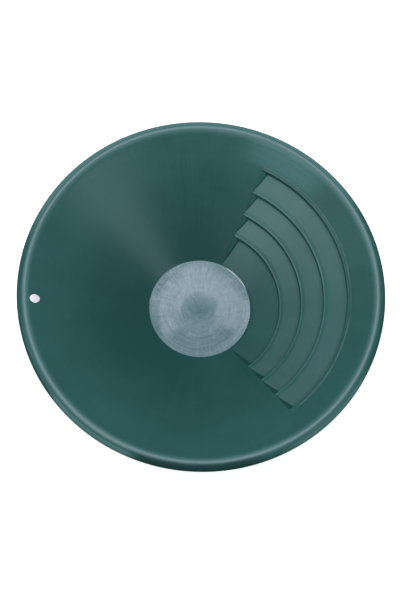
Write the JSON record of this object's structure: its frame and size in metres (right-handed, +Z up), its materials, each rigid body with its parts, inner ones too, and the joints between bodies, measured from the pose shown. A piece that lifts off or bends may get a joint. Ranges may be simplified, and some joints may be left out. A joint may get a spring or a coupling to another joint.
{
  "type": "gold pan",
  "caption": "Round plastic gold pan with a flat floor, sloping wall, a sector of stepped riffles, a rolled rim and a small hanging hole.",
  "frame": {"origin": "centre of the floor's underside, on the pan's axis, in the plane that the pan stands on", "axes": "+Z up out of the bowl along the pan's axis, +X towards the middle of the riffle sector, +Y a quarter turn counter-clockwise from it"},
  "size_m": [0.3556, 0.3556, 0.0635],
  "materials": {
    "green_polypropylene": "satin moulded polypropylene, dark blue-green, with faint turned tool marks on the floor"
  },
  "bodies": {
    "root": {"gold_pan": "green_polypropylene"}
  },
  "joints": []
}
